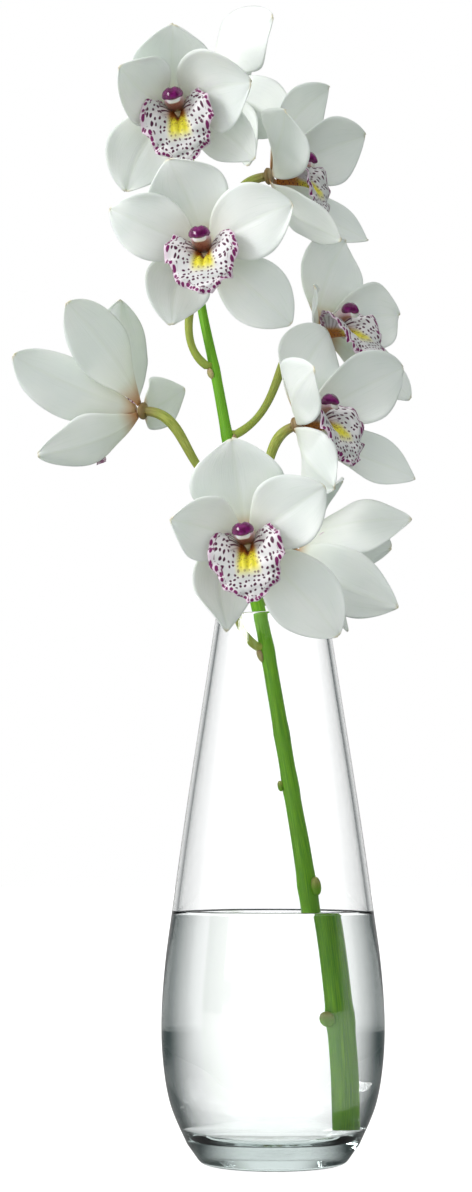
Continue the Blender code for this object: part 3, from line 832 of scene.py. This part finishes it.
# %% Column finishes
column_finish, tree, shader = new_finish(
    "column", roughness=0.4, subsurface_weight=0.15, subsurface_scale=0.002, coat_weight=0.15
)
_, along, _ = own_uv(tree)
under = add_node(tree, "Attribute", attribute_name="under").outputs["Fac"]
specks = add_node(tree, "TexVoronoi", {"Vector": object_place(tree), "Scale": 900.0}).outputs["Distance"]
rose = blend_colour(tree, fade(tree, specks, 0.25, 0.4, 0.7, 0), (0.52, 0.24, 0.2, 1), (0.22, 0.03, 0.06, 1))
rose = blend_colour(tree, fade(tree, along, 0.45, 0.15), rose, (0.5, 0.18, 0.03, 1))
pale = blend_colour(tree, fade(tree, along, 0.3, 0.9), (0.78, 0.74, 0.62, 1), (0.72, 0.5, 0.6, 1))
colour = blend_colour(tree, under, pale, rose)
colour = blend_colour(tree, fade(tree, along, 0.9, 0.95), colour, (0.86, 0.82, 0.8, 1))
tree.links.new(colour, shader.inputs["Base Color"])
bump(tree, shader, specks, 0.15, 0.0002)

cap_finish, tree, shader = new_finish(
    "anther_cap",
    roughness=0.22,
    coat_weight=0.5,
    coat_roughness=0.1,
    subsurface_weight=0.05,
    subsurface_scale=0.001,
)
mottle = speckle(tree, object_place(tree), 420.0, 3.0)
colour = blend_colour(tree, fade(tree, mottle, 0.35, 0.7), (0.1, 0.002, 0.06, 1), (0.22, 0.006, 0.15, 1))
tree.links.new(colour, shader.inputs["Base Color"])
bump(tree, shader, mottle, 0.1, 0.0002)

# %% Columns and caps
COLUMN_PATH = [
    (4.5, 0.0, 3.4), (7, 0.0, 3.7), (12, 1.4, 4.3), (17, 3.4, 4.9),
    (22, 5.2, 5.2), (26, 5.2, 5.2), (28.5, 3.6, 3.8),
]
COLUMN_AROUND = 24
CAP_CENTRE = (0, 6.4, 26.0)
CAP_HALF = (6.5, 5.3, 5.4)
CAP_RINGS = 20


def column_point(path, u, v):
    """A point of the column in the flower's axes, with its share of underside."""
    up, out, radius = path[round(u * (len(path) - 1))]
    angle = v * math.tau
    under = max(0.0, -math.sin(angle))
    width = 1 + 0.22 * math.sin(math.pi * min(1, u * 1.1)) ** 3
    height = radius * math.sin(angle) * (1 - 0.45 * under)
    return Vector((radius * width * math.cos(angle), up + height, out + 0.25 * height)), under


def cap_point(u, v):
    """A point of the anther cap: a dome creased along its top, drawn down to a blunt beak in front."""
    tilt, angle = u * math.pi, v * math.tau
    across, rise, forward = math.sin(tilt) * math.cos(angle), math.sin(tilt) * math.sin(angle), math.cos(tilt)
    crease = 0.16 * math.exp(-((across / 0.16) ** 2)) * max(0, rise)
    beak = 0.3 * max(0, forward) ** 2
    return Vector(
        (
            CAP_CENTRE[0] + CAP_HALF[0] * across * (1 - 0.3 * max(0, forward)),
            CAP_CENTRE[1] + CAP_HALF[1] * (rise * (1.0 if rise > 0 else 0.55) - crease - beak),
            CAP_CENTRE[2] + CAP_HALF[2] * forward,
        )
    )


for name, flower in FLOWERS.items():
    matrix = flower_frame(flower)
    stations = smooth_through([(up, out, radius) for out, up, radius in COLUMN_PATH], 5)
    up, out, _ = stations[-1]
    tip = [(up - 0.4, out + 0.5, 1.6), (up - 0.6, out + 0.7, 0.0)]
    stations = [(*stations[0][:2], 0.0)] + stations + tip
    shape = new_shape()
    shade = shape.verts.layers.float.new("under")
    for vert in add_sheet(shape, len(stations) - 1, COLUMN_AROUND, lambda u, v: Vector((u, v, 0)) / MM):
        point, vert[shade] = column_point(stations, vert.co.x, vert.co.y)
        vert.co = matrix @ point * MM
    close_up(shape)
    finish_piece(f"{name}_column_arched", shape, [column_finish], "spray", "column", f"{name}_column")
    shape = new_shape()
    add_sheet(shape, CAP_RINGS, CAP_RINGS, lambda u, v: matrix @ cap_point(u, v))
    close_up(shape)
    finish_piece(f"{name}_anther_cap", shape, [cap_finish], "spray", "column")
print("columns and caps:", len(FLOWERS))

# %% [markdown]
# ## Flower stalks
# Each flower hangs on its own stalk, which thickens into the six-ribbed ovary and ends in a small cushion
# that carries the blades. It is olive green, yellower near the main stalk, and brown at the flower.

# %% Flower stalk finish
pedicel_finish, tree, shader = new_finish(
    "flower_stalk", roughness=0.42, subsurface_weight=0.1, subsurface_scale=0.002, coat_weight=0.08
)
uv, along, _ = own_uv(tree)
streaks = speckle(tree, scaled(tree, uv, (3, 14, 1)), 4.0, 3.0)
olive = blend_colour(tree, fade(tree, streaks, 0.35, 0.65), (0.24, 0.3, 0.035, 1), (0.46, 0.5, 0.1, 1))
olive = blend_colour(tree, fade(tree, along, 0.45, 0.0, 0, 0.7), olive, (0.4, 0.52, 0.07, 1))
olive = blend_colour(tree, fade(tree, along, 0.7, 0.9), olive, (0.26, 0.17, 0.06, 1))
olive = blend_colour(tree, fade(tree, along, 0.93, 0.97), olive, (0.66, 0.55, 0.36, 1))
tree.links.new(olive, shader.inputs["Base Color"])
bump(tree, shader, streaks, 0.4, 0.0004)

# %% Flower stalks
PEDICEL_RADIUS = 2.3
OVARY_RADIUS = 3.1
OVARY_NECK = 3.0
HUB_THICKNESS = 1.6
GAP = 0.3
PEDICEL_STEPS = 34
STALK_RADII = [(0, PEDICEL_RADIUS * 1.15), (0.15, PEDICEL_RADIUS), (0.75, OVARY_RADIUS), (1, 2.7)]
RIB_HEIGHTS = [(0, 0), (0.45, 0.3), (0.8, 1), (0.9, 0), (1, 0)]
CUSHION = [(0.0, 2.7), (0.9, 4.3), (1.9, 5.3), (3.1, 5.1), (4.3, 4.3), (5.0, 3.2), (5.2, 0.0)]


def stalk_at(height):
    """Centre and radius of the main stalk at a height."""
    for low, high in zip(PEDUNCLE, PEDUNCLE[1:]):
        if height <= high[2]:
            share = (height - low[2]) / (high[2] - low[2])
            x, y, z, radius = (a + (b - a) * share for a, b in zip(low, high))
            return Vector((x, y, z)), radius
    return Vector(PEDUNCLE[-1][:3]), PEDUNCLE[-1][3]


def pedicel_path(flower, matrix):
    """Stations from inside the main stalk to the cushion under the blades."""
    centre, stalk_radius = stalk_at(flower["leaves_at"])
    towards = Vector(flower["leaves_towards"]).normalized()
    level = Vector((towards.x, towards.y, 0)).normalized()
    start = centre + level * (stalk_radius + PEDICEL_RADIUS + GAP)
    back = (matrix.to_3x3() @ Vector((0, 0, 1))).normalized()
    top = matrix @ Vector((0, 0, SEPAL_RISE - HUB_THICKNESS / 2 - GAP))
    end = top - back * OVARY_NECK
    reach = (end - start).length
    handles = [start, start + towards * reach * 0.45, end - back * reach * 0.4, end]
    path = [(*centre, 0.0), (*(centre + level), PEDICEL_RADIUS * 0.9)]
    for step in range(PEDICEL_STEPS + 1):
        t = step / PEDICEL_STEPS
        weights = [(1 - t) ** 3, 3 * t * (1 - t) ** 2, 3 * t * t * (1 - t), t**3]
        point = sum((handle * weight for handle, weight in zip(handles, weights)), Vector())
        path.append((*point, eased(STALK_RADII, t)))
    return path + [(*(end + back * out), radius) for out, radius in CUSHION]


def ribs(share, angle):
    return 1 + 0.07 * eased(RIB_HEIGHTS, share) * math.cos(6 * angle + 3 * share)


for name, flower in FLOWERS.items():
    shape = new_shape()
    add_tube(shape, pedicel_path(flower, flower_frame(flower)), 30, ribs)
    close_up(shape)
    finish_piece(f"{name}_stalk_ribbed", shape, [pedicel_finish], "spray", "pedicel", f"{name}_pedicel")
print("flower stalks:", len(FLOWERS))

# %% [markdown]
# ## Bracts and stubs
# A papery scale sits under some flower stalks, and lower down the flowers have been cut away, which
# leaves small rounded stubs. A scale is a sheet folded round the stalk and drawn to a point.

# %% Bract and stub finishes
def scale_finish(name, dull, light, root, roughness):
    """Fibrous tissue between two colours along its fibres, and a third one where it leaves the stalk."""
    material, tree, shader = new_finish(name, roughness=roughness)
    uv, along, _ = own_uv(tree)
    fibres = speckle(tree, scaled(tree, uv, (1, 9, 1)), 5.0, 3.0)
    colour = blend_colour(tree, fade(tree, fibres, 0.35, 0.65), dull, light)
    colour = blend_colour(tree, fade(tree, along, 0.75, 0.35), colour, root)
    tree.links.new(colour, shader.inputs["Base Color"])
    bump(tree, shader, fibres, 0.5, 0.0004)
    return material


bract_finish = scale_finish("dry_bract", (0.3, 0.19, 0.08, 1), (0.6, 0.45, 0.27, 1), (0.45, 0.42, 0.16, 1), 0.65)
stub_finish = scale_finish("cut_stub", (0.3, 0.36, 0.05, 1), (0.5, 0.5, 0.14, 1), (0.18, 0.42, 0.01, 1), 0.5)

# %% Bracts and stubs
BRACTS = {
    "bract_1": dict(height=297, around=200, half=(1.6, 3.2, 4.5)),
    "bract_2": dict(height=428, around=-20, half=(1.5, 2.6, 3.6)),
    "bract_3": dict(height=469, around=215, half=(1.5, 2.6, 3.6)),
    "stub_1": dict(height=219, around=190, half=(1.8, 2.2, 3.2)),
    "stub_2": dict(height=160, around=-50, half=(3.0, 3.0, 5.5)),
    "stub_3": dict(height=83, around=235, half=(3.4, 3.4, 4.2)),
}


def scale_point(bract, pointed, u, v):
    """A point of a scale or stub, from where it joins the stalk to its tip."""
    centre, radius = stalk_at(bract["height"])
    around = math.radians(bract["around"])
    away, along = Vector((math.cos(around), math.sin(around), 0)), Vector((-0.13, -0.02, 0.99))
    out, wide, tall = bract["half"]
    tilt, angle = u * math.pi, v * math.tau
    ring = math.sin(tilt) ** (1.5 if pointed else 0.85)
    rise = -math.cos(tilt)
    lean = 0.45 * rise if pointed else 0.25
    point = away * (out * (ring * math.cos(angle) + lean))
    point += away.cross(along) * (wide * ring * math.sin(angle))
    point += along * (tall * rise)
    return centre + away * (radius + out * 0.5) + point


for name, bract in BRACTS.items():
    shape = new_shape()
    add_sheet(shape, 20, 18, lambda u, v: scale_point(bract, name.startswith("bract"), u, v))
    close_up(shape)
    finish = bract_finish if name.startswith("bract") else stub_finish
    finish_piece(f"{name}_scale", shape, [finish], "spray", "bract", name)

# %% [markdown]
# ## Studio
# Clear glassware is lit from behind and around: a bright surround makes the middle of the glass clear,
# and darker flags to its left and right draw its edges. One large soft box on the left models the petals.
# Floor and surround are plain white to the eye. The flags are only seen through the glass and the water,
# and whatever is mirrored in them is dimmed, so that no pale veil lies over the stalk.


# %% Floor finish
def mirrored_rays(tree):
    """1 for what is seen mirrored in a smooth surface, 0 for what is seen through it."""
    path = add_node(tree, "LightPath").outputs
    return calc(tree, "SUBTRACT", path["Is Glossy Ray"], path["Is Transmission Ray"])


floor_finish, tree, shader = new_finish("pale_floor", roughness=0.8)
parts = add_node(tree, "SeparateXYZ", {0: object_place(tree)})
right, back = parts.outputs[0], parts.outputs[1]
beside = calc(tree, "ARCTAN2", calc(tree, "ABSOLUTE", right), back)
distance = add_node(tree, "VectorMath", {0: object_place(tree)}, operation="LENGTH").outputs["Value"]
flag = calc(tree, "MULTIPLY", fade(tree, beside, 0.12, 0.78), fade(tree, beside, 1.7, 1.3))
flag = calc(tree, "MULTIPLY", flag, fade(tree, distance, 0.25, 0.6))
seen = add_node(tree, "LightPath").outputs["Is Camera Ray"]
flag = calc(tree, "MULTIPLY", flag, calc(tree, "SUBTRACT", 1.0, seen))
glow = blend_colour(tree, flag, (1.0, 1.0, 1.0, 1), (0.03, 0.05, 0.05, 1))
glow = blend_colour(tree, calc(tree, "MULTIPLY", mirrored_rays(tree), 0.95), glow, (0, 0, 0, 1))
tree.links.new(glow, shader.inputs["Emission Color"])
pale = blend_colour(tree, flag, (0.3, 0.3, 0.3, 1), (0.02, 0.02, 0.02, 1))
tree.links.new(pale, shader.inputs["Base Color"])
shader.inputs["Emission Strength"].default_value = 1.0

# %% Floor
FLOOR_RADIUS = 14
FLOOR_DROP = 0.0004

shape = bmesh.new()
just_under = Matrix.Translation((0, 0, -FLOOR_DROP))
bmesh.ops.create_circle(shape, cap_ends=True, segments=96, radius=FLOOR_RADIUS, matrix=just_under)
floor_mesh = bpy.data.meshes.new("floor")
shape.to_mesh(floor_mesh)
shape.free()
floor_mesh.materials.append(floor_finish)
floor = bpy.data.objects.new("floor", floor_mesh)
bpy.context.scene.collection.objects.link(floor)
floor.visible_diffuse = False

# %% Surround
world = bpy.data.worlds.new("studio")
bpy.context.scene.world = world
world.use_nodes = True
tree = world.node_tree
direction = add_node(tree, "TexCoord").outputs["Generated"]
parts = add_node(tree, "SeparateXYZ", {0: direction})
right, back, up = parts.outputs[0], parts.outputs[1], parts.outputs[2]
beside = calc(tree, "ARCTAN2", calc(tree, "ABSOLUTE", right), back)
sheet = fade(tree, beside, 0.8, 0.15)
sides = calc(tree, "MULTIPLY", fade(tree, beside, 1.3, 1.45), fade(tree, beside, 1.85, 1.7, 0, 0.7))
bright = calc(tree, "MAXIMUM", calc(tree, "MAXIMUM", sheet, sides), fade(tree, up, 0.6, 0.85))
glassy = blend_colour(tree, bright, (0.03, 0.05, 0.05, 1), (1.22, 1.22, 1.22, 1))
light_from = (-0.52, -0.5, 0.4)
facing = add_node(tree, "VectorMath", {0: direction, 1: light_from}, operation="DOT_PRODUCT").outputs["Value"]
soft = blend_colour(tree, fade(tree, facing, -0.7, 0.8), (0.26, 0.3, 0.28, 1), (0.92, 0.94, 0.92, 1))
path = add_node(tree, "LightPath")
glassy = blend_colour(tree, calc(tree, "MULTIPLY", mirrored_rays(tree), 0.65), glassy, (0, 0, 0, 1))
surround = blend_colour(tree, path.outputs["Is Diffuse Ray"], glassy, soft)
surround = blend_colour(tree, path.outputs["Is Camera Ray"], surround, (1, 1, 1, 1))
tree.links.new(surround, tree.nodes["Background"].inputs["Color"])
tree.nodes["Background"].inputs["Strength"].default_value = 1.0


# %% Soft box
def soft_box(name, position, aim, size, power):
    """A square area light that looks at a point."""
    light = bpy.data.lights.new(name, "AREA")
    light.shape = "SQUARE"
    light.size = size
    light.energy = power
    lamp = bpy.data.objects.new(name, light)
    lamp.location = position
    lamp.rotation_mode = "QUATERNION"
    lamp.rotation_quaternion = (Vector(aim) - Vector(position)).to_track_quat("-Z", "Y")
    bpy.context.scene.collection.objects.link(lamp)


soft_box("key", (-1.7, -0.9, 1.3), (0, 0, 0.45), 0.8, 24)
bpy.context.scene.view_settings.view_transform = "Standard"
